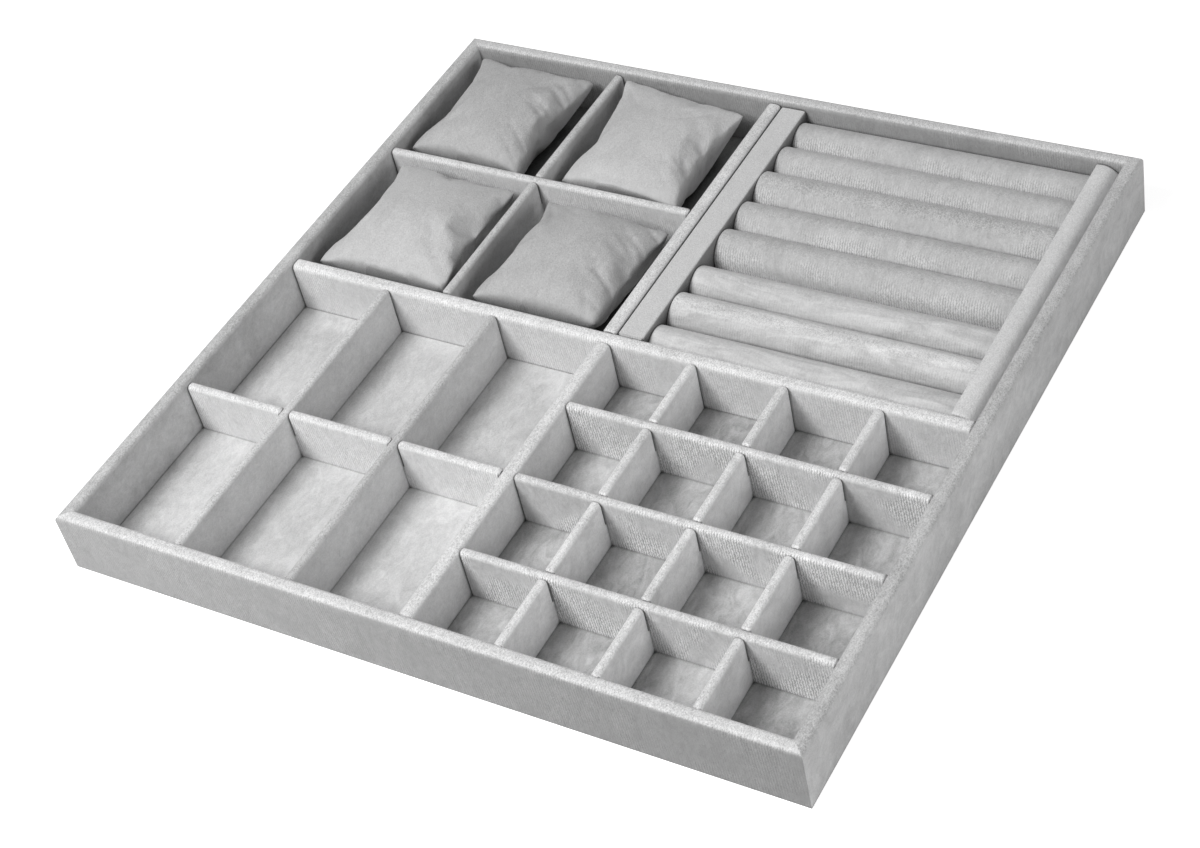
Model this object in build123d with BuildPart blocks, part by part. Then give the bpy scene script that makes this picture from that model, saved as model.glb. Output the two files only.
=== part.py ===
from build123d import *
import os

# A velvet-covered jewelry tray, in millimetres. The origin is at the middle of its
# underside, X runs along the near edge, Y towards the far edge and Z up.

# Outer case
tray_width = 400.0
tray_depth = 400.0
tray_height = 35.5
wall_thickness = 8.0
velvet_thickness = 1.0
rim_radius = 3.0
wall_board_bevel = 1.2
base_board_thickness = 2.5
rabbet_depth = 3.0
floor_lining_thickness = 1.0
lining_clearance = 0.2

# Dividers
divider_drop = 2.0
main_divider_thickness = 8.0
main_divider_edge_radius = 3.0
main_board_bevel = 1.2
small_divider_thickness = 5.0
small_divider_edge_radius = 2.2
small_board_bevel = 0.0
divider_end_chamfer = 0.9
lap_clearance = 0.1
lap_height_share = 0.5
cross_divider_shift = -0.5
front_divider_shift = -1.4
back_divider_shift = -2.5
grid_columns = 4
grid_rows = 4
grid_column_pitch = 49.4
grid_row_pitch = 50.0
long_cell_columns = 3
long_cell_rows = 2
long_cell_pitch = 65.3

# Lift-out ring insert
insert_clearance = 0.3
seat_clearance = 0.3
insert_base_thickness = 3.5
strip_width = 14.5
strip_drop = 1.0
strip_edge_radius = 1.5
strip_board_bevel = 0.0
rail_width = 12.5
rail_drop = 0.5
rail_edge_radius = 3.5
rail_board_bevel = 1.5
roll_gap = 0.2
roll_spare_gap = 7.1
roll_seat_depth = 0.2
roll_end_bevel = 1.2
front_roll_count = 3
back_roll_count = 5

# Bracelet pillows
pillow_room_x = 14.25
pillow_room_y = 9.75
pillow_rise = 17.0
pillow_drop = 23.2
pillow_flattening = 3.0
pillow_draw_in = 3.5
pillow_seam_allowance = 3.0

# Where each pillow lies in its bay, as shares of the room that it has left over, and
# how far it is turned, in degrees.
pillow_places = {
    "front_left": (0.43, -0.01, -1.0),
    "front_right": (0.60, -0.12, 1.0),
    "back_left": (-0.54, 0.33, -1.5),
    "back_right": (-0.15, 0.21, -4.0),
}

# Half the outline of a pillow's wadding from the side, seam first: how far out, as a share
# of its half size, and how far up or down, as a share of the rise or the drop.
wadding_outline_shares = ((1.0, 0.0), (0.68, 0.60), (0.25, 0.90))

# Cuts run past the faces they open by this much.
overrun = 2.0

# Heights and faces that the pieces share
base_board_bottom = velvet_thickness
base_board_top = base_board_bottom + base_board_thickness
floor_top = base_board_top + floor_lining_thickness
divider_top = tray_height - divider_drop
lap_height = floor_top + (divider_top - floor_top) * lap_height_share
inner_right = tray_width / 2 - wall_thickness
inner_left = -inner_right
inner_back = tray_depth / 2 - wall_thickness
inner_front = -inner_back
cross_front = cross_divider_shift - main_divider_thickness / 2
cross_back = cross_divider_shift + main_divider_thickness / 2
front_divider_left = front_divider_shift - main_divider_thickness / 2
front_divider_right = front_divider_shift + main_divider_thickness / 2
back_divider_left = back_divider_shift - main_divider_thickness / 2
back_divider_right = back_divider_shift + main_divider_thickness / 2
pillow_bay_width = (back_divider_left - inner_left - small_divider_thickness) / 2
pillow_bay_depth = (inner_back - cross_back - small_divider_thickness) / 2
pillow_width = pillow_bay_width - pillow_room_x
pillow_depth = pillow_bay_depth - pillow_room_y


def finish(part, name):
    """Name a finished piece and write it out."""
    part.label = name
    export_step(part, f"parts/{name}.step")


def divider_lines(cells, pitch):
    """Middles of the small dividers of a section, measured from the section's own middle."""
    return [(n - cells / 2) * pitch for n in range(1, cells)]


def divider_form(length, thickness, bottom, top, edge_radius):
    """A covered divider along X, with a rounded top and softened ends."""
    with BuildPart() as form:
        with BuildSketch(Plane.YZ) as section:
            with Locations((0, (bottom + top) / 2)):
                Rectangle(thickness, top - bottom)
            fillet(section.vertices().group_by(Axis.Y)[-1], edge_radius)
        extrude(amount=length / 2, both=True)
        end_edges = form.faces().filter_by(Axis.X).edges().group_by(Axis.Z)[1:]
        chamfer([edge for group in end_edges for edge in group], divider_end_chamfer)
    return form.part


def board_form(length, thickness, bottom, top, bevel):
    """A bare board on its edge along X, with its top edges eased by a bevel."""
    with BuildPart() as form:
        with BuildSketch(Plane.YZ) as section:
            with Locations((0, (bottom + top) / 2)):
                Rectangle(thickness, top - bottom)
            if bevel > 0:
                chamfer(section.vertices().group_by(Axis.Y)[-1], bevel)
        extrude(amount=length / 2, both=True)
    return form.part


def lapped_form(make_form, length, thickness, bottom, top, edge, gaps, gap_width, lap, inset):
    """A piece whose top is open where others cross over it, in one strip below the lap."""
    starts = [-length / 2] + [gap + gap_width / 2 for gap in gaps]
    ends = [gap - gap_width / 2 for gap in gaps] + [length / 2]
    with BuildPart() as form:
        for start, end in zip(starts, ends):
            with Locations(((start + end) / 2, 0, 0)):
                add(make_form(end - start, thickness, bottom, top, edge))
        if gaps:
            with Locations((0, 0, (bottom + lap) / 2)):
                Box(length - 2 * inset, thickness, lap - bottom)
    return form.part


def slot_cuts(bottom, thickness, slots, slot_width):
    """The blocks that open a board from below where it passes over others."""
    with BuildPart() as cuts:
        for slot in slots:
            with Locations((slot, 0, (bottom - overrun + lap_height) / 2)):
                Box(slot_width, thickness + overrun, lap_height - bottom + overrun)
    return cuts.part


def wrapped_board(length, thickness, bottom, top, edge_radius, board_bevel, over=(), under=()):
    """The velvet and the board of one divider along X, centred on the origin.

    It passes over the boards at the places in over and under those in under."""
    slot_width = small_divider_thickness + 2 * lap_clearance
    outer_size = (length, thickness, bottom, top, edge_radius)
    outer_laps = (under, slot_width, lap_height, divider_end_chamfer)
    board_size = (
        length - 2 * velvet_thickness,
        thickness - 2 * velvet_thickness,
        bottom,
        top - velvet_thickness,
        board_bevel,
    )
    board_laps = (
        under,
        slot_width + 2 * velvet_thickness,
        lap_height - velvet_thickness,
        0,
    )
    with BuildPart() as board:
        add(lapped_form(board_form, *board_size, *board_laps))
    with BuildPart() as velvet:
        add(lapped_form(divider_form, *outer_size, *outer_laps))
        add(board.part, mode=Mode.SUBTRACT)
    if not over:
        return velvet.part, board.part
    cuts = slot_cuts(bottom, thickness, over, slot_width)
    with BuildPart() as slotted_velvet:
        add(velvet.part)
        add(cuts, mode=Mode.SUBTRACT)
    with BuildPart() as slotted_board:
        add(board.part)
        add(cuts, mode=Mode.SUBTRACT)
    return slotted_velvet.part, slotted_board.part


def stand_along_x(piece, x, y):
    """Set a piece made along X at its place."""
    with BuildPart() as placed:
        with Locations((x, y, 0)):
            add(piece)
    return placed.part


def stand_along_y(piece, x, y):
    """Turn a piece made along X to run along Y, and set it at its place."""
    with BuildPart() as placed:
        with Locations(Location((x, y, 0), (0, 0, 90))):
            add(piece)
    return placed.part


def velvet_block():
    """The four covered walls as one ring, with crisp corners and a rounded rim."""
    with BuildPart() as ring:
        with BuildSketch():
            Rectangle(tray_width, tray_depth)
            Rectangle(2 * inner_right, 2 * inner_back, mode=Mode.SUBTRACT)
        extrude(amount=tray_height)
        fillet(ring.faces().sort_by(Axis.Z)[-1].edges(), rim_radius)
    return ring.part


def board_block():
    """The four bare wall boards as one ring, with their edges eased by bevels."""
    outer_width = tray_width - 2 * velvet_thickness
    outer_depth = tray_depth - 2 * velvet_thickness
    with BuildPart() as ring:
        with BuildSketch(Plane.XY.offset(base_board_bottom)):
            Rectangle(outer_width, outer_depth)
            Rectangle(
                2 * (inner_right + velvet_thickness),
                2 * (inner_back + velvet_thickness),
                mode=Mode.SUBTRACT,
            )
        extrude(amount=tray_height - velvet_thickness - base_board_bottom)
        chamfer(ring.faces().sort_by(Axis.Z)[-1].edges(), wall_board_bevel)
    return ring.part


def wall_boards():
    """Front and back boards run full width, with the side boards butted between them.

    The base board sits in a rabbet along the bottom of all four."""
    board_thickness = wall_thickness - 2 * velvet_thickness
    board_depth = tray_depth - 2 * velvet_thickness
    with BuildPart() as ring:
        add(board_block())
        add(base_block(), mode=Mode.SUBTRACT)
    end_y = (board_depth - board_thickness) / 2
    for name, side in (("front_wall_board", -1), ("back_wall_board", 1)):
        with BuildPart() as end_board:
            add(ring.part)
            with Locations((0, side * end_y, tray_height / 2)):
                Box(tray_width, board_thickness, tray_height, mode=Mode.INTERSECT)
        finish(end_board.part, name)
    for name, side in (("left_wall_board", -1), ("right_wall_board", 1)):
        with BuildPart() as side_board:
            add(ring.part)
            with Locations((side * tray_width / 4, 0, tray_height / 2)):
                Box(
                    tray_width / 2,
                    board_depth - 2 * board_thickness,
                    tray_height,
                    mode=Mode.INTERSECT,
                )
        finish(side_board.part, name)


def base_block():
    """The base board, let into the rabbet of the walls."""
    reach = velvet_thickness + rabbet_depth
    with BuildPart() as block:
        with Locations((0, 0, (base_board_bottom + base_board_top) / 2)):
            Box(
                2 * (inner_right + reach),
                2 * (inner_back + reach),
                base_board_thickness,
            )
    return block.part


def wall_velvets():
    """Velvet goes up the outside, over the rim and down inside, and turns under the boards.

    It is mitred at the corners."""
    with BuildPart() as skin:
        add(velvet_block())
        add(board_block(), mode=Mode.SUBTRACT)
        add(base_block(), mode=Mode.SUBTRACT)
    half_width = tray_width / 2 + overrun
    half_depth = tray_depth / 2 + overrun
    mitre = min(half_width, half_depth) - overrun
    corners = {
        "front_wall_velvet": ((-1, -1), (1, -1)),
        "right_wall_velvet": ((1, -1), (1, 1)),
        "back_wall_velvet": ((1, 1), (-1, 1)),
        "left_wall_velvet": ((-1, 1), (-1, -1)),
    }
    for name, (first, last) in corners.items():
        with BuildPart() as wall:
            add(skin.part)
            with BuildSketch():
                with BuildLine():
                    Polyline(
                        (first[0] * half_width, first[1] * half_depth),
                        (last[0] * half_width, last[1] * half_depth),
                        (last[0] * (half_width - mitre), last[1] * (half_depth - mitre)),
                        (first[0] * (half_width - mitre), first[1] * (half_depth - mitre)),
                        close=True,
                    )
                make_face()
            extrude(amount=tray_height, mode=Mode.INTERSECT)
        finish(wall.part, name)


def floor_lining(name, left, right, front, back):
    """A velvet-faced card that covers the floor of one section."""
    with BuildPart() as lining:
        with Locations(((left + right) / 2, (front + back) / 2, (base_board_top + floor_top) / 2)):
            Box(
                right - left - 2 * lining_clearance,
                back - front - 2 * lining_clearance,
                floor_lining_thickness,
            )
    finish(lining.part, name)


def main_dividers():
    """Three thick dividers that quarter the tray, standing on the base board."""
    size = (
        main_divider_thickness,
        base_board_top,
        divider_top,
        main_divider_edge_radius,
        main_board_bevel,
    )
    velvet, board = wrapped_board(inner_right - inner_left, *size)
    finish(stand_along_x(velvet, 0, cross_divider_shift), "cross_divider_velvet")
    finish(stand_along_x(board, 0, cross_divider_shift), "cross_divider_board")
    velvet, board = wrapped_board(cross_front - inner_front, *size)
    middle = (cross_front + inner_front) / 2
    finish(stand_along_y(velvet, front_divider_shift, middle), "front_divider_velvet")
    finish(stand_along_y(board, front_divider_shift, middle), "front_divider_board")
    velvet, board = wrapped_board(inner_back - cross_back, *size)
    middle = (cross_back + inner_back) / 2
    finish(stand_along_y(velvet, back_divider_shift, middle), "back_divider_velvet")
    finish(stand_along_y(board, back_divider_shift, middle), "back_divider_board")


def crossed_dividers(name, section, lines_x, lines_y, along_x_over):
    """Small dividers along X and Y that cross-lap, and the boards inside them as one node."""
    left, right, front, back = section
    centre_x = (left + right) / 2
    centre_y = (front + back) / 2
    size = (
        small_divider_thickness,
        floor_top,
        divider_top,
        small_divider_edge_radius,
        small_board_bevel,
    )
    boards = []
    x_laps = {"over": lines_x} if along_x_over else {"under": lines_x}
    y_laps = {"under": lines_y} if along_x_over else {"over": lines_y}
    velvet, board = wrapped_board(right - left, *size, **x_laps)
    for number, y in enumerate(lines_y, start=1):
        suffix = f"_{number}" if len(lines_y) > 1 else ""
        finish(stand_along_x(velvet, centre_x, centre_y + y), f"{name}_row_divider{suffix}")
        boards.append(stand_along_x(board, centre_x, centre_y + y))
    velvet, board = wrapped_board(back - front, *size, **y_laps)
    for number, x in enumerate(lines_x, start=1):
        suffix = f"_{number}" if len(lines_x) > 1 else ""
        finish(stand_along_y(velvet, centre_x + x, centre_y), f"{name}_column_divider{suffix}")
        boards.append(stand_along_y(board, centre_x + x, centre_y))
    finish(Compound(children=boards), f"{name}_divider_boards")


def roll_form(length, radius, end_bevel):
    """A round roll along X about its own axis, bevelled at its left end."""
    with BuildPart() as roll:
        with BuildSketch(Plane.XZ) as half:
            with Locations((length / 2, radius / 2)):
                Rectangle(length, radius)
            if end_bevel > 0:
                chamfer(half.vertices().group_by(Axis.X)[0].sort_by(Axis.Y)[-1:], end_bevel)
        revolve(axis=Axis.X)
    return roll.part


def ring_insert():
    """A loose insert of padded rolls between a flat strip and a rounded rail."""
    left = back_divider_right + insert_clearance
    right = inner_right - insert_clearance
    front = cross_back + insert_clearance
    back = inner_back - insert_clearance
    base_bottom = floor_top + seat_clearance
    base_top = base_bottom + insert_base_thickness
    middle_y = (front + back) / 2
    with BuildPart() as base:
        with Locations(((left + right) / 2, middle_y, (base_bottom + base_top) / 2)):
            Box(right - left, back - front, insert_base_thickness)
    finish(base.part, "ring_insert_base")

    strip_top = divider_top - strip_drop
    velvet, board = wrapped_board(
        back - front,
        strip_width,
        base_top,
        strip_top,
        strip_edge_radius,
        strip_board_bevel,
    )
    finish(stand_along_y(velvet, left + strip_width / 2, middle_y), "ring_strip_velvet")
    finish(stand_along_y(board, left + strip_width / 2, middle_y), "ring_strip_board")
    rail_top = divider_top - rail_drop
    velvet, board = wrapped_board(
        back - front,
        rail_width,
        base_top,
        rail_top,
        rail_edge_radius,
        rail_board_bevel,
    )
    finish(stand_along_y(velvet, right - rail_width / 2, middle_y), "ring_rail_velvet")
    finish(stand_along_y(board, right - rail_width / 2, middle_y), "ring_rail_board")

    roll_left = left + strip_width
    roll_length = right - rail_width - roll_left
    roll_count = back_roll_count + front_roll_count
    pitch = (back - front - roll_spare_gap) / roll_count
    radius = (pitch - roll_gap) / 2
    axis_height = base_top + radius - roll_seat_depth
    rolls_y = [back - pitch * (n + 1 / 2) for n in range(back_roll_count)]
    rolls_y += [front + pitch * (n + 1 / 2) for n in reversed(range(front_roll_count))]
    foams = []
    for number, y in enumerate(rolls_y, start=1):
        with BuildPart() as foam:
            with Locations((roll_left + roll_end_bevel, y, axis_height)):
                add(roll_form(roll_length - roll_end_bevel, radius - velvet_thickness, 0))
            split(bisect_by=Plane.XY.offset(base_top), keep=Keep.TOP)
        foams.append(foam.part)
        with BuildPart() as sleeve:
            with Locations((roll_left, y, axis_height)):
                add(roll_form(roll_length, radius, roll_end_bevel))
            split(bisect_by=Plane.XY.offset(base_top), keep=Keep.TOP)
            add(foam.part, mode=Mode.SUBTRACT)
        finish(sleeve.part, f"ring_roll_sleeve_{number}")
    finish(Compound(children=foams), "ring_roll_foams")


def cover_form(seam_height):
    """A stuffed pillow with drawn-in sides, crowned both ways above and below its seam.

    The lower crown runs deeper than the pillow rests, so it lies on a flat."""
    half_width = pillow_width / 2
    half_depth = pillow_depth / 2
    waist_x = half_width - pillow_draw_in
    waist_y = half_depth - pillow_draw_in
    crown = seam_height + pillow_rise
    bottom = seam_height - pillow_drop - pillow_flattening
    with BuildPart() as form:
        with BuildSketch(Plane.XY.offset(seam_height - pillow_drop)):
            with BuildLine():
                ThreePointArc((-half_width, -half_depth), (0, -waist_y), (half_width, -half_depth))
                ThreePointArc((half_width, -half_depth), (waist_x, 0), (half_width, half_depth))
                ThreePointArc((half_width, half_depth), (0, waist_y), (-half_width, half_depth))
                ThreePointArc((-half_width, half_depth), (-waist_x, 0), (-half_width, -half_depth))
            make_face()
        extrude(amount=pillow_rise + pillow_drop)
        for plane, half in ((Plane.XZ, half_width), (Plane.YZ, half_depth)):
            with BuildSketch(plane):
                with BuildLine():
                    ThreePointArc((-half, seam_height), (0, crown), (half, seam_height))
                    ThreePointArc((half, seam_height), (0, bottom), (-half, seam_height))
                make_face()
            extrude(amount=max(pillow_width, pillow_depth), both=True, mode=Mode.INTERSECT)
    return form.part


def wadding_form(seam_height):
    """The wadding of one pillow, plain because the cover hides it."""
    margin = pillow_draw_in + pillow_seam_allowance
    half_width = pillow_width / 2 - margin
    half_depth = pillow_depth / 2 - margin
    with BuildPart() as form:
        with BuildSketch(Plane.XY.offset(seam_height - pillow_drop)):
            Rectangle(2 * half_width, 2 * half_depth)
        extrude(amount=pillow_rise + pillow_drop)
        for plane, half in ((Plane.XZ, half_width), (Plane.YZ, half_depth)):
            upper = [(half * out, pillow_rise * up) for out, up in wadding_outline_shares]
            lower = [(half * out, -pillow_drop * up) for out, up in wadding_outline_shares[1:]]
            right = list(reversed(upper)) + lower
            left = [(-out, up) for out, up in reversed(right)]
            with BuildSketch(plane):
                with BuildLine():
                    Polyline([(x, seam_height + z) for x, z in right + left], close=True)
                make_face()
            extrude(amount=max(pillow_width, pillow_depth), both=True, mode=Mode.INTERSECT)
    return form.part


def pillows():
    """Four loose bracelet pillows, one in each bay, with a velvet cover and its filling."""
    bays_x = {
        "left": inner_left + pillow_bay_width / 2,
        "right": back_divider_left - pillow_bay_width / 2,
    }
    bays_y = {
        "front": cross_back + pillow_bay_depth / 2,
        "back": inner_back - pillow_bay_depth / 2,
    }
    seam_height = floor_top + seat_clearance + pillow_drop
    whole_cover = cover_form(seam_height)
    wadding = wadding_form(seam_height)
    for row, bay_y in bays_y.items():
        for column, bay_x in bays_x.items():
            share_x, share_y, turn = pillow_places[f"{row}_{column}"]
            x = bay_x + share_x * pillow_room_x / 2
            y = bay_y + share_y * pillow_room_y / 2
            place = Location((x, y, 0), (0, 0, turn))
            with BuildPart() as filling:
                with Locations(place):
                    add(wadding)
            with BuildPart() as cover:
                with Locations(place):
                    add(whole_cover)
                add(filling.part, mode=Mode.SUBTRACT)
            finish(cover.part, f"pillow_cover_{row}_{column}")
            finish(filling.part, f"pillow_filling_{row}_{column}")


os.makedirs("parts", exist_ok=True)

wall_boards()
wall_velvets()

with BuildPart() as base_board:
    add(base_block())
finish(base_board.part, "base_board")

with BuildPart() as underside_felt:
    with Locations((0, 0, velvet_thickness / 2)):
        Box(
            2 * (inner_right - lining_clearance),
            2 * (inner_back - lining_clearance),
            velvet_thickness,
        )
finish(underside_felt.part, "underside_felt")

main_dividers()

long_cells = (inner_left, front_divider_left, inner_front, cross_front)
grid = (front_divider_right, inner_right, inner_front, cross_front)
pillow_bays = (inner_left, back_divider_left, cross_back, inner_back)
ring_bay = (back_divider_right, inner_right, cross_back, inner_back)
floor_lining("long_cell_floor_lining", *long_cells)
floor_lining("grid_floor_lining", *grid)
floor_lining("pillow_bay_floor_lining", *pillow_bays)
floor_lining("ring_bay_floor_lining", *ring_bay)
crossed_dividers(
    "long_cell",
    long_cells,
    divider_lines(long_cell_columns, long_cell_pitch),
    divider_lines(long_cell_rows, grid_row_pitch),
    False,
)
crossed_dividers(
    "grid",
    grid,
    divider_lines(grid_columns, grid_column_pitch),
    divider_lines(grid_rows, grid_row_pitch),
    True,
)
crossed_dividers("pillow_bay", pillow_bays, [0], [0], True)

ring_insert()
pillows()
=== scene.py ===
import math

import bmesh
import bpy
import numpy as np
from mathutils import Matrix, Vector, noise


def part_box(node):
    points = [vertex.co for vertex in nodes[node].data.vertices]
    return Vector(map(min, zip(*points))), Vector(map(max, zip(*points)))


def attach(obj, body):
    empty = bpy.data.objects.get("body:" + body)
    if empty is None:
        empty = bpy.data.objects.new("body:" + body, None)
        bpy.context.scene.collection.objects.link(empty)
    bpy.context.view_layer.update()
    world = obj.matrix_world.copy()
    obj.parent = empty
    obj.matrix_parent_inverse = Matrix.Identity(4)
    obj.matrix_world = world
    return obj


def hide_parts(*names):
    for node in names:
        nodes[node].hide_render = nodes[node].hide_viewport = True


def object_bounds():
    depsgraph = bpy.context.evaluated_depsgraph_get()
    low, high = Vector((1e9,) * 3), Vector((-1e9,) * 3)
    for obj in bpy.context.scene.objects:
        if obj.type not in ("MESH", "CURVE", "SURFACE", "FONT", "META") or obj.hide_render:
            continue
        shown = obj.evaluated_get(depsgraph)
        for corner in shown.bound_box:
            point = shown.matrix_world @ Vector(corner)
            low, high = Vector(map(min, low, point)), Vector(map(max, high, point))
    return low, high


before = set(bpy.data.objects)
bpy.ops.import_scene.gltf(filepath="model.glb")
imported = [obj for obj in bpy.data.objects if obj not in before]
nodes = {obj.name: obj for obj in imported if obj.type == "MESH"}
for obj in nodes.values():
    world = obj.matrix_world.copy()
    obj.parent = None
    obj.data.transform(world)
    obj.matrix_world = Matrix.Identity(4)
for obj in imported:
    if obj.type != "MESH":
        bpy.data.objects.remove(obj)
cad_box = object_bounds()
scene = bpy.context.scene

# Sizes are in metres, apart from the tables that say millimetres
MM = 0.001

# Half of the case's side
HALF_SIDE = cad_box[1][0]

# Materials

# The colour of all the velvet, before each piece's own tone
GREY = (0.66, 0.66, 0.662)

# The velvet's noises: scale, detail, roughness and distortion
PATCHES = (26.0, 3.0, 0.55, 0.6)
STROKES = (130.0, 3.0, 0.6, 1.6)
PILE = (620.0, 3.0, 0.8, 0.6)
TUFTS = (1600.0, 2.0, 0.75, 0.4)
GRAIN = (1300.0, 2.0, 0.6, 0.0)

# How those that have a direction are squeezed along X, Y and Z, and then turned
BRUSH = (1.0, 0.5, 0.6)
BRUSH_TURN = (0.2, 0.1, 0.5)
PILE_SQUEEZE = (1.0, 0.6, 0.6)
PILE_TURN = (0.3, 0.2, 0.9)
TUFT_SQUEEZE = (1.0, 0.7, 1.0)
TUFT_TURN = (0.0, 0.0, 0.7)

# How much the pile, the grain and the tufts change the shade
PILE_CHANGE = 0.085
GRAIN_CHANGE = 0.06
TUFT_CHANGE = 0.30

# The ribs' wave, and how far they lean
RIB_WAVE = {"Scale": 230.0, "Distortion": 5.0, "Detail": 2.0, "Detail Scale": 4.0}
RIB_LEAN = 0.06

# How far a piece's own seed shifts its noises along X, Y and Z
SEED_SHIFT = (1.0, 0.7, 0.3)

# The values between which nearly all of a noise lies
NOISE_RANGE = (0.3, 0.7)

# In the pairs below, a share starts at the first value and is complete at the second:
# the height of a wrap's top, the distance from the middle of the case's outside, how far a top
# and a side look up, how far a ribbed face looks along Y, and the patches that hold ribs
# The top, outside and side masks place each side's painted light and shade
TOP_HEIGHT = (0.029, 0.0325)
OUTSIDE = (HALF_SIDE - 0.0035, HALF_SIDE - 0.0005)
TOP_LOOKS_UP = (0.3, 0.8)
SIDE_LOOKS_UP = (0.95, 0.4)
RIBBED_LOOKS_ALONG_Y = (0.25, 0.8)
RIBBED_PATCHES = (0.38, 0.6)

# The openness at which a crease's painted shade is darkest, and at which it ends
CREASE_OPENNESS = (0.25, 0.75)


class Graph:
    """A small helper that adds nodes to one material and links them."""

    def __init__(self, name):
        self.material = bpy.data.materials.new(name)
        self.material.use_nodes = True
        self.tree = self.material.node_tree
        self.bsdf = self.tree.nodes["Principled BSDF"]
        self.coords = self.node("ShaderNodeTexCoord").outputs["Object"]

    def node(self, kind, **settings):
        made = self.tree.nodes.new(kind)
        for key, value in settings.items():
            setattr(made, key, value)
        return made

    def link(self, source, target):
        self.tree.links.new(source, target)

    def feed(self, target, value):
        """Give a socket a number, or link it to another socket."""
        if isinstance(value, bpy.types.NodeSocket):
            self.link(value, target)
        else:
            target.default_value = value

    def math(self, operation, first, second=0.0, third=0.0, clamp=False):
        made = self.node("ShaderNodeMath", operation=operation, use_clamp=clamp)
        for target, value in zip(made.inputs, (first, second, third)):
            self.feed(target, value)
        return made.outputs[0]

    def ramp(self, value, low, high, to_low=0.0, to_high=1.0, smooth=True):
        made = self.node("ShaderNodeMapRange", clamp=True)
        made.interpolation_type = "SMOOTHSTEP" if smooth else "LINEAR"
        for target, item in zip(made.inputs, (value, low, high, to_low, to_high)):
            self.feed(target, item)
        return made.outputs[0]

    def scaled(self, scale=(1.0, 1.0, 1.0), turn=(0.0, 0.0, 0.0), shift=(0.0, 0.0, 0.0)):
        """The place on the object, scaled, turned and shifted."""
        made = self.node("ShaderNodeMapping")
        made.inputs["Scale"].default_value = scale
        made.inputs["Rotation"].default_value = turn
        made.inputs["Location"].default_value = shift
        self.link(self.coords, made.inputs["Vector"])
        return made.outputs[0]

    def noise(self, vector, scale, detail, roughness, distortion):
        made = self.node("ShaderNodeTexNoise")
        self.link(vector, made.inputs["Vector"])
        made.inputs["Scale"].default_value = scale
        made.inputs["Detail"].default_value = detail
        made.inputs["Roughness"].default_value = roughness
        made.inputs["Distortion"].default_value = distortion
        return made.outputs["Fac"]

    def signed(self, fac, amount):
        """A noise value turned into a change of plus or minus about the amount."""
        return self.ramp(fac, *NOISE_RANGE, -amount, amount, smooth=False)

    def axis(self, source, index):
        made = self.node("ShaderNodeSeparateXYZ")
        self.link(source, made.inputs[0])
        return made.outputs[index]

    def share(self, shade, mask, share):
        """The shade, and a share of it where the mask is 1."""
        if share == 1.0:
            return shade
        return self.math("MULTIPLY", shade, self.ramp(mask, 0.0, 1.0, 1.0, share))

    def finish(self, shade, colour, bumps):
        """Base colour from one grey value, and bumps as (height, strength, distance) in turn."""
        mix = self.node("ShaderNodeVectorMath", operation="SCALE")
        mix.inputs[0].default_value = colour
        self.link(shade, mix.inputs["Scale"])
        self.link(mix.outputs[0], self.bsdf.inputs["Base Color"])
        self.bsdf.inputs["Roughness"].default_value = 0.95
        self.bsdf.inputs["Specular IOR Level"].default_value = 0.15
        previous = None
        for height, strength, distance in bumps:
            made = self.node("ShaderNodeBump")
            made.inputs["Strength"].default_value = strength
            made.inputs["Distance"].default_value = distance
            self.link(height, made.inputs["Height"])
            if previous is not None:
                self.link(previous, made.inputs["Normal"])
            previous = made.outputs[0]
        self.link(previous, self.bsdf.inputs["Normal"])
        return self.material


def rib_wave(g, normal, patches):
    """Fine ribs on the faces that look along Y, and the mask in which they come and go."""
    wave = g.node("ShaderNodeTexWave", wave_type="BANDS", bands_direction="X")
    g.link(g.scaled(turn=(0.0, RIB_LEAN, 0.0)), wave.inputs["Vector"])
    for key, value in RIB_WAVE.items():
        wave.inputs[key].default_value = value
    facing_y = g.ramp(g.math("ABSOLUTE", g.axis(normal, 1)), *RIBBED_LOOKS_ALONG_Y)
    mask = g.math("MULTIPLY", facing_y, g.ramp(patches, *RIBBED_PATCHES))
    return g.math("MULTIPLY", wave.outputs["Fac"], mask), mask


def wrap_parts(g, normal):
    """Masks of a wrap's top, of the sides outside the case and of those inside it, which get their
    own painted light and shade.
    """
    up = g.axis(normal, 2)
    height = g.ramp(g.axis(g.coords, 2), *TOP_HEIGHT)
    on_top = g.math("MULTIPLY", height, g.ramp(up, *TOP_LOOKS_UP))
    side = g.ramp(up, *SIDE_LOOKS_UP)
    beyond_x, beyond_y = (g.ramp(g.math("ABSOLUTE", g.axis(g.coords, axis)), *OUTSIDE)
                          for axis in (0, 1))
    beyond = g.math("MULTIPLY", g.math("MAXIMUM", beyond_x, beyond_y), side)
    within = g.math("SUBTRACT", side, beyond, clamp=True)
    return on_top, beyond, within


def painted_light_falloff(g, shade, beyond, light_falloff):
    """The shade with a painted fall-off of the light along the outside, from one end of the case to
    the other.
    """
    axis, low_share, high_share = light_falloff
    share = g.ramp(g.axis(g.coords, axis), -HALF_SIDE, HALF_SIDE, low_share, high_share)
    change = g.math("MULTIPLY", g.math("SUBTRACT", share, 1.0), beyond)
    return g.math("MULTIPLY", shade, g.math("ADD", change, 1.0))


def painted_crease_shade(g, shade, on_top, crease, reach):
    """Painted shade: the shade made darker in creases and corners by ambient occlusion, but not on
    the tops.
    """
    occlusion = g.node("ShaderNodeAmbientOcclusion", samples=8, only_local=False)
    occlusion.inputs["Distance"].default_value = reach
    depth = g.ramp(occlusion.outputs["AO"], *CREASE_OPENNESS, 1.0 - crease, 1.0)
    return g.math("MULTIPLY", shade, g.math("MAXIMUM", depth, on_top))


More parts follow.
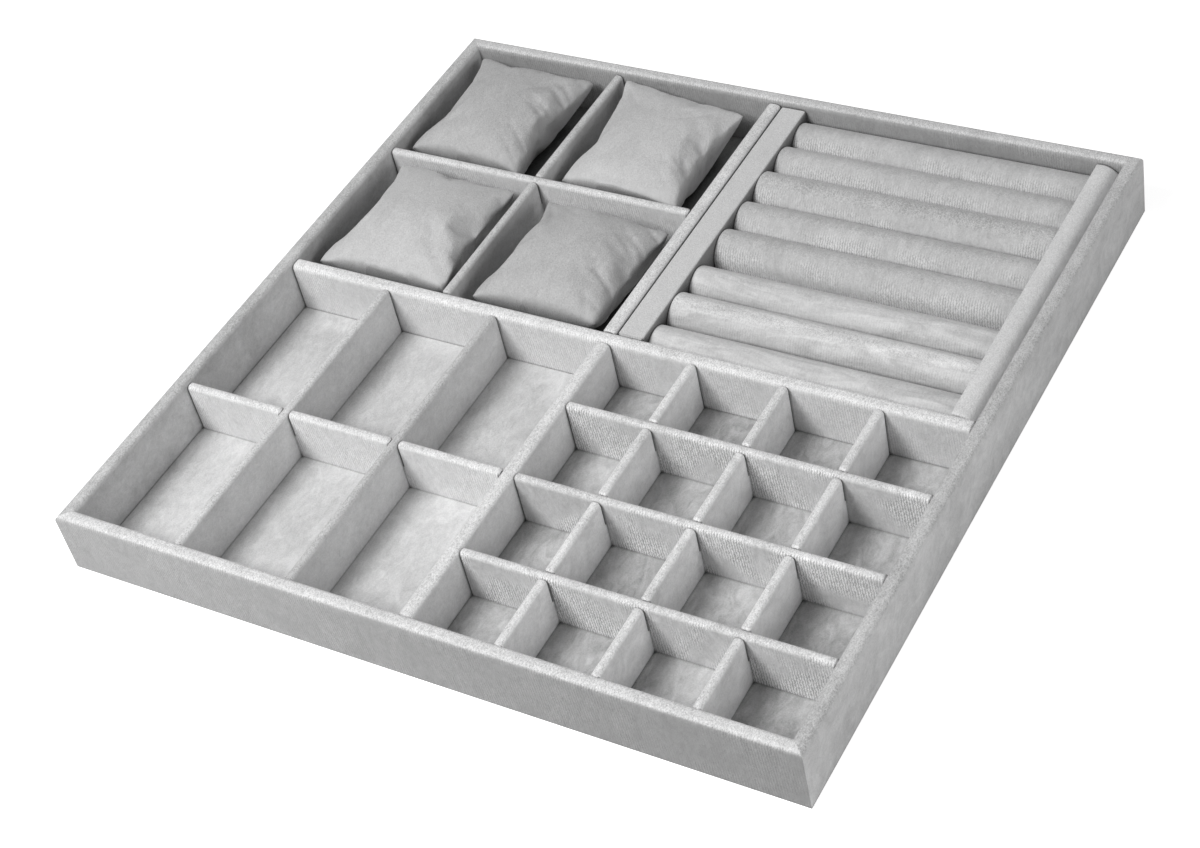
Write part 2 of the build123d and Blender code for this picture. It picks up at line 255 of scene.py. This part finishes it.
def velvet(name, tone=1.0, top=1.0, inside=1.0, outside=1.0, light_falloff=None, mottle=0.07,
           streak=0.06, ribs=0.15, grit=1.0, crease=0.6, reach=0.0025, brush=BRUSH, seed=0.0):
    """Short-pile velvet: a brushed nap in patches and strokes, fine ribs and a pile grain.

    The top, the outside and the inside of a wrap have their own shares of the tone: painted light
    and shade for how the lamps fall on each side, standing partly for the pile, which is brushed
    another way on each. The outside share can also fall off along a wall, as (axis, share at its
    low end, share at its high end): a painted fall-off of the light. Mottle, streak, ribs and grit
    say how strong the patches, strokes, ribs and pile are, and crease how dark the painted shade is
    in a crease that the reach closes. Brush is how closely the strokes follow each other along X,
    Y and Z.
    """
    g = Graph(name)
    here = g.scaled(shift=tuple(seed * share for share in SEED_SHIFT))
    normal = g.node("ShaderNodeNewGeometry").outputs["True Normal"]
    patches = g.noise(here, *PATCHES)
    strokes = g.noise(g.scaled(brush, BRUSH_TURN), *STROKES)
    pile = g.noise(g.scaled(PILE_SQUEEZE, PILE_TURN), *PILE)
    tufts = g.noise(g.scaled(TUFT_SQUEEZE, TUFT_TURN), *TUFTS)
    grain = g.noise(here, *GRAIN)
    rib, rib_mask = rib_wave(g, normal, patches)
    on_top, beyond, within = wrap_parts(g, normal)

    shade = g.math("ADD", tone, g.signed(patches, mottle))
    shade = g.math("ADD", shade, g.signed(strokes, streak))
    shade = g.math("ADD", shade, g.signed(pile, PILE_CHANGE * grit))
    shade = g.math("ADD", shade, g.signed(grain, GRAIN_CHANGE * grit))
    rib_change = g.math("SUBTRACT", rib, g.math("MULTIPLY", rib_mask, 0.5))
    shade = g.math("MULTIPLY_ADD", rib_change, ribs * 2, shade)
    tuft_change = g.math("MULTIPLY", on_top, g.signed(tufts, TUFT_CHANGE * grit))
    shade = g.math("ADD", shade, tuft_change)
    # Painted light and shade: the top, the outside and the inside each get their own share of the
    # tone, standing partly for the nap
    shade = g.share(shade, on_top, top)
    shade = g.share(shade, beyond, outside)
    # A painted fall-off of the light along the outside
    if light_falloff:
        shade = painted_light_falloff(g, shade, beyond, light_falloff)
    shade = g.share(shade, within, inside)
    # Painted shade in creases and corners
    shade = painted_crease_shade(g, shade, on_top, crease, reach)

    g.bsdf.inputs["Sheen Weight"].default_value = 0.25
    g.bsdf.inputs["Sheen Roughness"].default_value = 0.45
    g.bsdf.inputs["Sheen Tint"].default_value = (1.0, 1.0, 1.0, 1.0)
    return g.finish(shade, GREY, bumps=(
        (patches, 0.25, 0.0015),
        (strokes, 0.35, 0.0006),
        (rib, 0.5, 0.0003),
        (pile, 0.6, 0.0005),
        (tufts, 0.6, 0.0004),
        (grain, 0.4, 0.0002),
    ))


def board(name, colour, grain_scale, contrast):
    """Raw board, card or felt, seen only where the cloth is open: a felted fibre grain."""
    g = Graph(name)
    fibres = g.noise(g.scaled((1.0, 0.15, 1.0), (0.0, 0.0, 0.4)), grain_scale, 4.0, 0.7, 0.4)
    specks = g.noise(g.coords, grain_scale * 4, 2.0, 0.6, 0.0)
    shade = g.math("ADD", 1.0, g.signed(fibres, contrast))
    shade = g.math("ADD", shade, g.signed(specks, contrast * 0.6))
    return g.finish(shade, colour, bumps=((fibres, 0.4, 0.0002), (specks, 0.3, 0.0001)))


# Each wrap has its own shares of the tone on its top, inside and outside: painted light and shade for
# how the lamps fall on that piece, standing partly for how its pile was brushed
# The side walls: painted shade on the top and inside, and a painted fall-off of the light along the
# outside from the near end to the far one
velvet_sides = velvet("velvet_sides", top=0.85, inside=0.90, light_falloff=(1, 1.10, 0.98),
                      mottle=0.12, streak=0.09, seed=1.3)
velvet_grid_rows = velvet("velvet_grid_rows", top=1.08, inside=0.97, mottle=0.12, streak=0.11,
                          ribs=0.38, seed=7.7)
# The grid's column dividers: painted light on their sides and tops
velvet_grid_columns = velvet("velvet_grid_columns", top=1.13, inside=1.24, mottle=0.11,
                             streak=0.08, seed=2.7)
WRAPS = {
    # The front wall: painted light on its inside, painted shade on its outside, and a painted
    # fall-off of the light along the outside towards its right end
    "front_wall_velvet": velvet(
        "velvet_front", top=1.06, inside=1.25, outside=0.64, light_falloff=(0, 1.10, 0.80), streak=0.08),
    # The back wall: painted shade on its inner face and its outside
    "back_wall_velvet": velvet(
        "velvet_back", top=0.97, inside=0.56, outside=0.85, seed=9.2),
    "left_wall_velvet": velvet_sides,
    "right_wall_velvet": velvet_sides,
    "cross_divider_velvet": velvet("velvet_cross", top=1.17, inside=1.05, seed=3.9),
    "front_divider_velvet": velvet("velvet_front_divider", top=1.13, inside=1.12, seed=5.1),
    "back_divider_velvet": velvet("velvet_back_divider", top=1.12, inside=0.98, seed=6.6),
    "long_cell_row_divider": velvet("velvet_long_row", top=1.12, inside=1.12, seed=4.4),
    "long_cell_column_divider_1": velvet(
        "velvet_long_column_1", top=0.99, inside=1.03, seed=4.1),
    "long_cell_column_divider_2": velvet(
        "velvet_long_column_2", top=0.83, inside=1.00, seed=8.8),
    "pillow_bay_row_divider": velvet(
        "velvet_bay_row", top=1.06, inside=1.00, reach=0.006, seed=2.2),
    "pillow_bay_column_divider": velvet(
        "velvet_bay_column", top=0.89, inside=0.95, reach=0.006, seed=7.1),
    "long_cell_floor_lining": velvet(
        "velvet_long_floor", tone=1.0, mottle=0.12, streak=0.10, ribs=0.0, crease=0.85,
        reach=0.002, seed=3.1),
    # Painted shade deep in the small cells: their floors are darker all over, with painted shade in
    # their creases
    "grid_floor_lining": velvet(
        "velvet_grid_floor", tone=0.78, mottle=0.17, streak=0.15, ribs=0.0, crease=0.85,
        reach=0.003, seed=0.8),
    # Painted shade under and beside the pillows: the bays' floors are darker all over, and their
    # painted crease shade reaches far
    "pillow_bay_floor_lining": velvet(
        "velvet_bay_floor", tone=0.64, ribs=0.0, crease=0.88, reach=0.018, seed=5.5),
    "ring_bay_floor_lining": velvet("velvet_ring_floor", tone=0.80, ribs=0.0, seed=6.1),
    # Painted shade on the strip's side beside the rolls, and in the creases that the rolls close
    "ring_strip_velvet": velvet(
        "velvet_strip", tone=0.99, inside=0.42, mottle=0.04, streak=0.03, grit=0.5, crease=0.9,
        reach=0.012, seed=5.7),
}
for number in (1, 2, 3):
    WRAPS[f"grid_row_divider_{number}"] = velvet_grid_rows
    WRAPS[f"grid_column_divider_{number}"] = velvet_grid_columns
velvet_rail = velvet("velvet_rail", tone=1.10, inside=0.95, mottle=0.05, streak=0.05, grit=0.6,
                     crease=0.15, seed=4.9)
# The pillows: painted shade in their creases and where they meet the bays
velvet_pillow = velvet("velvet_pillow", tone=0.74, ribs=0.0, mottle=0.05, streak=0.04, grit=0.4,
                       crease=0.8, reach=0.012, seed=8.3)
velvet_pillow_light = velvet("velvet_pillow_light", tone=0.88, ribs=0.0, mottle=0.05,
                             streak=0.04, grit=0.4, crease=0.8, reach=0.012, seed=1.1)
# Painted light on the far rolls' sides; on the near rolls, a painted highlight along their crowns and
# painted shade on their lower sides
velvet_roll = velvet("velvet_roll", tone=0.80, inside=1.06, ribs=0.20, crease=0.45,
                     reach=0.003, seed=1.9)
velvet_roll_light = velvet("velvet_roll_light", tone=0.94, top=1.17, inside=0.79, mottle=0.05,
                           streak=0.16, ribs=0.10, crease=0.45, reach=0.003,
                           brush=(0.22, 1.0, 1.0), seed=6.4)
fibreboard = board("fibreboard", (0.50, 0.38, 0.26), 260.0, 0.10)
greyboard = board("greyboard", (0.40, 0.38, 0.35), 340.0, 0.08)
felt = board("pressed_felt", (0.33, 0.33, 0.34), 520.0, 0.16)


def node_material(name):
    """The material of a node of the model, also of one that a piece stands for."""
    if name in WRAPS:
        return WRAPS[name]
    if name == "underside_felt":
        return felt
    if name == "ring_insert_base" or name.endswith("divider_boards"):
        return greyboard
    if name.endswith("board"):
        return fibreboard
    return velvet_roll


for name, item in nodes.items():
    item.data.materials.clear()
    item.data.materials.append(node_material(name))


# Tools for making pieces

def mesh_object(name, vertices, faces, material, smooth=True):
    data = bpy.data.meshes.new(name)
    data.from_pydata([tuple(v) for v in vertices], [], faces)
    data.update()
    made = bpy.data.objects.new(name, data)
    scene.collection.objects.link(made)
    data.materials.append(material)
    for polygon in data.polygons:
        polygon.use_smooth = smooth
    return made


def bands(rings, count, start=0):
    """The faces that join rings of points, each ring to the next."""
    faces = []
    for ring in range(rings - 1):
        first = start + ring * count
        for s in range(count):
            t = (s + 1) % count
            faces.append((first + s, first + t, first + count + t, first + count + s))
    return faces


def face_outwards(item):
    repair = bmesh.new()
    repair.from_mesh(item.data)
    bmesh.ops.recalc_face_normals(repair, faces=repair.faces)
    repair.to_mesh(item.data)
    repair.free()


def apply_modifiers(item):
    graph = bpy.context.evaluated_depsgraph_get()
    final = bpy.data.meshes.new_from_object(item.evaluated_get(graph))
    item.modifiers.clear()
    old = item.data
    item.data = final
    bpy.data.meshes.remove(old)
    for polygon in item.data.polygons:
        polygon.use_smooth = True


def coordinates(item):
    flat = np.empty(len(item.data.vertices) * 3)
    item.data.vertices.foreach_get("co", flat)
    return flat.reshape(-1, 3)


def set_coordinates(item, points):
    item.data.vertices.foreach_set("co", points.astype(np.float32).ravel())
    item.data.update()


def smooth_step(value, low, high):
    share = ((value - low) / (high - low)).clip(0, 1)
    return share * share * (3 - 2 * share)


# Padded rolls, from the far one: the middle of each in Y, and half its width and height, in
# millimetres. They are stuffed by hand, so no two are quite alike.
ROLLS = (
    (180.80, 10.85, 10.9),
    (158.63, 11.22, 11.3),
    (135.09, 12.22, 12.0),
    (111.47, 11.30, 11.4),
    (88.77, 11.30, 11.4),
    (60.06, 11.03, 11.1),
    (37.14, 11.79, 11.7),
    (14.55, 10.70, 10.8),
)
FAR_ROLLS = 5
ROLL_SEGMENTS = 80
ROLL_STEPS = 110
ROLL_LIFT = -0.00015

# The rounding of a roll's left end, and its steps
ROLL_END = 0.0008
ROLL_END_STEPS = 4
ROLL_TIP_SHARE = 0.3

# How closely the stuffing's bumps follow along and round a roll, how far the bumps of one roll
# lie from the next one's, and the shares of its size that bumps and finer bumps take
BUMPS_ALONG = 30
BUMPS_ROUND = 1.4
BUMPS_APART = 7.1
FINER = 3.1
BUMP_SHARE = 0.012
FINER_SHARE = 0.007

# How far the straight near side of the far rolls' foam leans
FOAM_LEAN = 0.10


def roll_stations(length, across):
    """Places along a roll, and the share of its full size that it has there."""
    stations = [(0.0, ROLL_TIP_SHARE)]
    for k in range(1, ROLL_END_STEPS + 1):
        angle = k / ROLL_END_STEPS * math.pi / 2
        stations.append((ROLL_END * (1 - math.cos(angle)),
                         1 - ROLL_END / across * (1 - math.sin(angle))))
    for k in range(1, ROLL_STEPS + 1):
        stations.append((ROLL_END + (length - ROLL_END) * k / ROLL_STEPS, 1.0))
    return stations


def roll(number, middle, half_width, half_height):
    """One padded roll: a round sleeve, closed at its left end.

    The last one of the far five has a straight near side, where their foam ends.
    """
    low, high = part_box(f"ring_roll_sleeve_{number}")
    across = half_width * MM
    tall = half_height * MM
    centre_y = middle * MM
    centre_z = low.z + ROLL_LIFT + tall
    stations = roll_stations(high.x - low.x, across)
    vertices = [(low.x, centre_y, centre_z)]
    for along, share in stations:
        for s in range(ROLL_SEGMENTS):
            turn = 2 * math.pi * s / ROLL_SEGMENTS
            y = math.cos(turn)
            z = math.sin(turn)
            p = Vector((along * BUMPS_ALONG, y * BUMPS_ROUND + number * BUMPS_APART,
                        z * BUMPS_ROUND))
            bumps = BUMP_SHARE * min(0.0, noise.noise(p)) + FINER_SHARE * noise.noise(p * FINER)
            swell = min(share * (1 + bumps), share)
            if number == FAR_ROLLS and y < 0 and z < 0:
                y = -1.0 + FOAM_LEAN * z
            vertices.append((low.x + along, centre_y + across * swell * y,
                             max(low.z, centre_z + tall * swell * z)))
    faces = [(0, 1 + (s + 1) % ROLL_SEGMENTS, 1 + s) for s in range(ROLL_SEGMENTS)]
    faces += bands(len(stations), ROLL_SEGMENTS, start=1)
    last = 1 + (len(stations) - 1) * ROLL_SEGMENTS
    right_end = len(vertices)
    vertices.append((high.x, centre_y, centre_z))
    for s in range(ROLL_SEGMENTS):
        faces.append((right_end, last + s, last + (s + 1) % ROLL_SEGMENTS))
    cover = velvet_roll if number <= FAR_ROLLS else velvet_roll_light
    made = mesh_object(f"ring_roll_{number}", vertices, faces, cover)
    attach(made, "ring_insert")
    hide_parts(f"ring_roll_sleeve_{number}")
    if number == 1:
        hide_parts("ring_roll_foams")


# The rail's section from its left foot over its rounded top to its right foot, as a share of
# its width and the depth below its top in millimetres, and the depth where its foot starts
RAIL = ((0.0, 24.7), (0.0, 0.7), (0.01, 0.35), (0.03, 0.1), (0.06, 0.0), (0.18, 0.0), (0.32, 0.05),
        (0.44, 0.3), (0.54, 0.75), (0.63, 1.3), (0.72, 2.1), (0.80, 3.0), (0.88, 4.1),
        (0.94, 5.3), (0.985, 7.0), (1.0, 9.3), (1.0, 24.7))
RAIL_FOOT = 20.0
RAIL_STEPS = 90

# The rounding of the rail's ends and its steps, and how far its velvet stands out to the left
RAIL_END = 0.0012
RAIL_END_STEPS = 4
RAIL_PROUD = 0.0005

# The unevenness of the rail's padding: how far down it goes in millimetres, its size, and how
# closely it follows across, along and down
PADDED_DEPTH = 12
PADDING_SWELL = 0.00018
PADDING_NOISE = (3, 40, 0.2)


def rail_stations(length):
    """Places along the rail, and how far its rounded ends drop there."""
    ends = []
    for k in range(RAIL_END_STEPS + 1):
        angle = k / RAIL_END_STEPS * math.pi / 2
        ends.append((RAIL_END * (1 - math.cos(angle)), RAIL_END * (1 - math.sin(angle))))
    middle = [(RAIL_END + (length - 2 * RAIL_END) * k / RAIL_STEPS, 0.0)
              for k in range(1, RAIL_STEPS)]
    return ends + middle + [(length - along, drop) for along, drop in reversed(ends)]


def rail():
    """The rounded rail at the right of the rolls, whose padding slopes off to the right."""
    low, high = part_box("ring_rail_velvet")
    left = low.x - RAIL_PROUD
    width = high.x - left
    stations = rail_stations(high.y - low.y)
    vertices = []
    for along, drop in stations:
        for share, depth in RAIL:
            p = Vector((share, along, depth)) * Vector(PADDING_NOISE)
            swell = PADDING_SWELL * (noise.noise(p) - 0.5) if depth < PADDED_DEPTH else 0.0
            x = left + drop * 0.5 + share * (width - drop)
            z = max(low.z, high.z - depth * MM - drop + swell)
            if depth > RAIL_FOOT:
                z = low.z
            vertices.append((x, low.y + along, z))
    count = len(RAIL)
    last = (len(stations) - 1) * count
    faces = bands(len(stations), count)
    faces.append(tuple(range(count))[::-1])
    faces.append(tuple(last + s for s in range(count)))
    made = mesh_object("ring_rail", vertices, faces, velvet_rail)
    face_outwards(made)
    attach(made, "ring_insert")
    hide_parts("ring_rail_velvet", "ring_rail_board")


# Pillows, in millimetres: for each, its four seam corners, from the far left one round
# to the near left one; the shares by which its left, right, far and near sides pull in between
# their corners; how high it is in the middle, how steeply it rises, the depth of its folds, the
# seed of its cloth and its velvet.
PILLOWS = {
    "back_left": dict(
        corners=((-189.0, 189.5, 30.8), (-111.2, 187.9, 29.1),
                 (-117.0, 104.0, 23.2), (-188.3, 105.0, 27.5)),
        pulls=(0.195, 0.11, 0.05, 0.064), crown=41.0, power=1.0, fold=1.9, seed=3,
        cover=velvet_pillow),
    "back_right": dict(
        corners=((-94.1, 190.3, 34.0), (-14.4, 182.3, 30.0),
                 (-17.9, 103.4, 24.3), (-92.0, 105.5, 26.5)),
        pulls=(0.135, 0.14, 0.001, 0.037), crown=39.9, power=1.15, fold=0.6, seed=11,
        cover=velvet_pillow_light),
    "front_left": dict(
        corners=((-184.0, 93.0, 29.5), (-106.0, 89.5, 29.5),
                 (-104.2, 7.7, 27.0), (-186.5, 7.5, 27.0)),
        pulls=(0.165, 0.046, 0.016, 0.041), crown=44.0, power=1.2, fold=0.5, seed=7,
        cover=velvet_pillow_light),
    "front_right": dict(
        corners=((-87.3, 89.0, 29.5), (-9.0, 84.5, 29.0),
                 (-15.1, 9.5, 27.1), (-89.0, 7.0, 28.5)),
        pulls=(0.146, 0.016, 0.05, 0.03), crown=45.0, power=1.2, fold=2.2, seed=41,
        cover=velvet_pillow),
}

# The height that the pillows rest at in millimetres, and how full their undersides are
PILLOW_REST = 4.8
BELLY = 1.12

# The flat bag before it is filled
BAG_HALF_X = 0.047
BAG_HALF_Y = 0.050
BAG_THIN = 0.004
BAG_CELLS = 44
BAG_WOBBLE = 0.0008
BAG_WOBBLE_SCALE = 3
FILL_FRAMES = 30

# How round an evenly filled bag is
PLUMP_POWER = 2.4

# How much of the near part is evened out, and the shares of the depth where that starts and is
# complete
CALM = 0.9
CALM_STARTS = 0.35
CALM_COMPLETE = 0.75

# Where the rounding of the corners starts, and how far it takes them in
TIP_STARTS = 0.84
TIP_ROUNDING = 0.03

# The soft folds: how closely they follow each other along the seam, how far they slant, how
# fast they change across, how narrow they are, and the places across, from -1 to 1, where they
# start, are complete and fade out again
FOLDS_ALONG = 4.6
FOLDS_SLANT = 2.6
FOLDS_ACROSS = 0.9
FOLDS_NARROW = 5
FOLDS_START = 0.30
FOLDS_COMPLETE = 0.78
FOLDS_FADE = 0.90


def bag(name, cover, seed):
    """A closed flat bag of cloth, fine enough to crease, as it is before it is filled."""
    count = BAG_CELLS + 1
    vertices = []
    index = {}
    for side in (1, -1):
        for i in range(count):
            for j in range(count):
                edge = i in (0, BAG_CELLS) or j in (0, BAG_CELLS)
                if edge and side == -1:
                    index[side, i, j] = index[1, i, j]
                    continue
                u = i / BAG_CELLS * 2 - 1
                v = j / BAG_CELLS * 2 - 1
                z = 0.0
                if not edge:
                    p = Vector((u * BAG_WOBBLE_SCALE + seed, v * BAG_WOBBLE_SCALE, side * 2.0))
                    wobble = noise.noise(p) * BAG_WOBBLE
                    z = side * BAG_THIN * (1 - u ** 4) * (1 - v ** 4) + wobble
                index[side, i, j] = len(vertices)
                vertices.append((u * BAG_HALF_X, v * BAG_HALF_Y, z))
    faces = []
    for side in (1, -1):
        for i in range(BAG_CELLS):
            for j in range(BAG_CELLS):
                ring = [index[side, i, j], index[side, i + 1, j], index[side, i + 1, j + 1],
                        index[side, i, j + 1]]
                faces.append(ring if side == 1 else ring[::-1])
    return mesh_object(name, vertices, faces, cover)


def inflate(item):
    """Fill a bag by the pressure of a cloth simulation, and keep the result as its mesh."""
    cloth = item.modifiers.new("cloth", "CLOTH")
    settings = cloth.settings
    settings.quality = 8
    settings.mass = 0.15
    settings.tension_stiffness = 40
    settings.compression_stiffness = 12
    settings.shear_stiffness = 8
    settings.bending_stiffness = 0.35
    settings.tension_damping = 12
    settings.compression_damping = 12
    settings.bending_damping = 1.0
    settings.use_pressure = True
    settings.uniform_pressure_force = 9.0
    settings.effector_weights.gravity = 0.0
    cloth.collision_settings.use_collision = False
    cloth.point_cache.frame_start = 1
    cloth.point_cache.frame_end = FILL_FRAMES
    for f in range(1, FILL_FRAMES + 1):
        scene.frame_set(f)
    apply_modifiers(item)
    scene.frame_set(1)


def plump(u, v):
    """The height of an evenly filled bag: 0 at its seam and 1 in its middle."""
    return ((1 - np.abs(u) ** PLUMP_POWER) * (1 - np.abs(v) ** PLUMP_POWER)).clip(0) ** 0.5


def filled(item):
    """Fill a bag, and say how far each point then lies across, along and up, from -1 to 1.

    The near part is evened out, because the cloth crumples there and the photograph's doesn't.
    """
    start = coordinates(item)
    inflate(item)
    points = coordinates(item)
    reach_x, reach_y = np.abs(points[:, :2]).max(0)
    u = points[:, 0] / reach_x
    v = points[:, 1] / reach_y
    height = points[:, 2]
    side = np.where(height >= 0, 1, -1)
    w = np.where(height >= 0, height / height.max(), height / -height.min())
    calm = CALM * smooth_step(-v, CALM_STARTS, CALM_COMPLETE)
    w = w * (1 - calm) + side * plump(u, v) * calm
    u = u * (1 - calm) + start[:, 0] / BAG_HALF_X * calm
    v = v * (1 - calm) + start[:, 1] / BAG_HALF_Y * calm
    return u, v, w


def seam_plan(u, v, corners, pulls):
    """Where each point lies in plan, and the height of the seam there."""
    left, right, far, near = pulls
    across = (u * (1 - np.where(u < 0, left, right) * (1 - v ** 2)) + 1) / 2
    deep = (v * (1 - np.where(v > 0, far, near) * (1 - u ** 2)) + 1) / 2
    tip = smooth_step(np.abs(u), TIP_STARTS, 1.0) * smooth_step(np.abs(v), TIP_STARTS, 1.0)
    across = across + (0.5 - across) * tip * TIP_ROUNDING
    deep = deep + (0.5 - deep) * tip * TIP_ROUNDING
    across = across[:, None]
    deep = deep[:, None]
    far_left, far_right, near_right, near_left = (np.array(corner) for corner in corners)
    return (near_left * (1 - across) * (1 - deep) + near_right * across * (1 - deep)
            + far_left * (1 - across) * deep + far_right * across * deep)


def soft_folds(u, v, seed):
    """Soft folds that run in from the right seam: 1 along a fold and 0 away from it."""
    places = [Vector((b * FOLDS_ALONG + a * FOLDS_SLANT + seed, a * FOLDS_ACROSS, seed / 2))
              for a, b in zip(u, v)]
    waves = np.array([noise.noise(p) for p in places])
    folds = 1 - (np.abs(waves) * FOLDS_NARROW).clip(0, 1)
    held = smooth_step(u, FOLDS_START, FOLDS_COMPLETE) * (1 - smooth_step(u, FOLDS_FADE, 1.0))
    return folds * held * (1 - v ** 4)


def pillow(place, corners, pulls, crown, power, fold, seed, cover):
    """One pillow: a filled bag, fitted to its seam corners and its height."""
    name = f"pillow_{place}"
    made = bag(name, cover, seed)
    u, v, w = filled(made)
    plan = seam_plan(u, v, corners, pulls)
    seam = plan[:, 2]
    above = w.clip(0, None) ** power * (crown - seam)
    below = (-w).clip(0, None) * (seam - PILLOW_REST) * BELLY
    z = seam + above - below - fold * soft_folds(u, v, seed) * (w > 0)
    z = np.maximum(z, PILLOW_REST)
    set_coordinates(made, np.column_stack([plan[:, :2], z]) * MM)
    smooth = made.modifiers.new("smooth", "SUBSURF")
    smooth.levels = 1
    smooth.render_levels = 1
    apply_modifiers(made)
    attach(made, name)
    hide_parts(f"pillow_cover_{place}", f"pillow_filling_{place}")


for number, sizes in enumerate(ROLLS, start=1):
    roll(number, *sizes)
rail()
for place, settings in PILLOWS.items():
    pillow(place, **settings)


# Stage

FLOOR_REACH = 6.0
FLOOR_COLOUR = (0.62, 0.62, 0.62, 1.0)
FLOOR_GLOW = 0.80
SKY_LIGHT = 0.19
SKY_SHOWN = 1.0


def background_rays(tree):
    """1 for the rays that show the background: the camera's, and those in gloss and glass."""
    path = tree.nodes.new("ShaderNodeLightPath")
    seen = tree.nodes.new("ShaderNodeMath")
    seen.operation = "MAXIMUM"
    tree.links.new(path.outputs["Is Camera Ray"], seen.inputs[0])
    tree.links.new(path.outputs["Is Glossy Ray"], seen.inputs[1])
    through = tree.nodes.new("ShaderNodeMath")
    through.operation = "MAXIMUM"
    tree.links.new(seen.outputs[0], through.inputs[0])
    tree.links.new(path.outputs["Is Transmission Ray"], through.inputs[1])
    return through.outputs[0]


def white_floor():
    """A plain pale floor that shows as white and keeps the object's shadow."""
    material = bpy.data.materials.new("pale_floor")
    material.use_nodes = True
    tree = material.node_tree
    tree.nodes.clear()
    output = tree.nodes.new("ShaderNodeOutputMaterial")
    add = tree.nodes.new("ShaderNodeAddShader")
    diffuse = tree.nodes.new("ShaderNodeBsdfDiffuse")
    diffuse.inputs["Color"].default_value = FLOOR_COLOUR
    glow = tree.nodes.new("ShaderNodeEmission")
    strength = tree.nodes.new("ShaderNodeMath")
    strength.operation = "MULTIPLY"
    strength.inputs[1].default_value = FLOOR_GLOW
    tree.links.new(background_rays(tree), strength.inputs[0])
    tree.links.new(strength.outputs[0], glow.inputs["Strength"])
    tree.links.new(diffuse.outputs[0], add.inputs[0])
    tree.links.new(glow.outputs[0], add.inputs[1])
    tree.links.new(add.outputs[0], output.inputs["Surface"])
    corners = [(x * FLOOR_REACH, y * FLOOR_REACH, 0) for x, y in ((-1, -1), (1, -1), (1, 1), (-1, 1))]
    mesh_object("floor", corners, [(0, 1, 2, 3)], material, smooth=False)


def sky():
    """Even light from all round, shown as white behind the floor."""
    world = bpy.data.worlds.new("studio")
    scene.world = world
    world.use_nodes = True
    tree = world.node_tree
    background = tree.nodes["Background"]
    background.inputs["Color"].default_value = (1.0, 1.0, 1.0, 1.0)
    strength = tree.nodes.new("ShaderNodeMapRange")
    strength.inputs["To Min"].default_value = SKY_LIGHT
    strength.inputs["To Max"].default_value = SKY_SHOWN
    tree.links.new(background_rays(tree), strength.inputs["Value"])
    tree.links.new(strength.outputs[0], background.inputs["Strength"])


def softbox(name, place, width, height, power):
    """A rectangular lamp that looks at the middle of the tray."""
    data = bpy.data.lights.new(name, "AREA")
    data.shape = "RECTANGLE"
    data.size = width
    data.size_y = height
    data.energy = power
    made = bpy.data.objects.new(name, data)
    scene.collection.objects.link(made)
    made.location = place
    made.rotation_euler = (-Vector(place)).to_track_quat("-Z", "Y").to_euler()


# The camera as it was solved from the photograph: its place, and the directions to its right
# and forward in the tray's own frame. The focal length is in pixels of the photograph.
CAMERA_PLACE = (0.53824, -0.69748, 0.80641)
CAMERA_RIGHT = (0.861760, 0.475282, -0.177417)
CAMERA_FORWARD = (-0.454817, 0.568866, -0.685225)
FOCAL_PIXELS = 2384.19
PHOTO_WIDTH = 1200
SENSOR_WIDTH = 36.0


def photo_camera():
    data = bpy.data.cameras.new("camera")
    data.sensor_fit = "HORIZONTAL"
    data.sensor_width = SENSOR_WIDTH
    data.lens = FOCAL_PIXELS * SENSOR_WIDTH / PHOTO_WIDTH
    made = bpy.data.objects.new("camera", data)
    scene.collection.objects.link(made)
    right = Vector(CAMERA_RIGHT)
    forward = Vector(CAMERA_FORWARD)
    turn = Matrix((right, right.cross(forward), -forward)).transposed().to_4x4()
    made.matrix_world = Matrix.Translation(CAMERA_PLACE) @ turn
    scene.camera = made


white_floor()
sky()
softbox("key", (-0.56, -1.00, 1.38), 0.7, 0.7, 27.0)
softbox("fill", (1.7, -0.3, 0.75), 1.2, 0.8, 9.0)
photo_camera()
scene.view_settings.view_transform = "Standard"

bpy.context.view_layer.update()
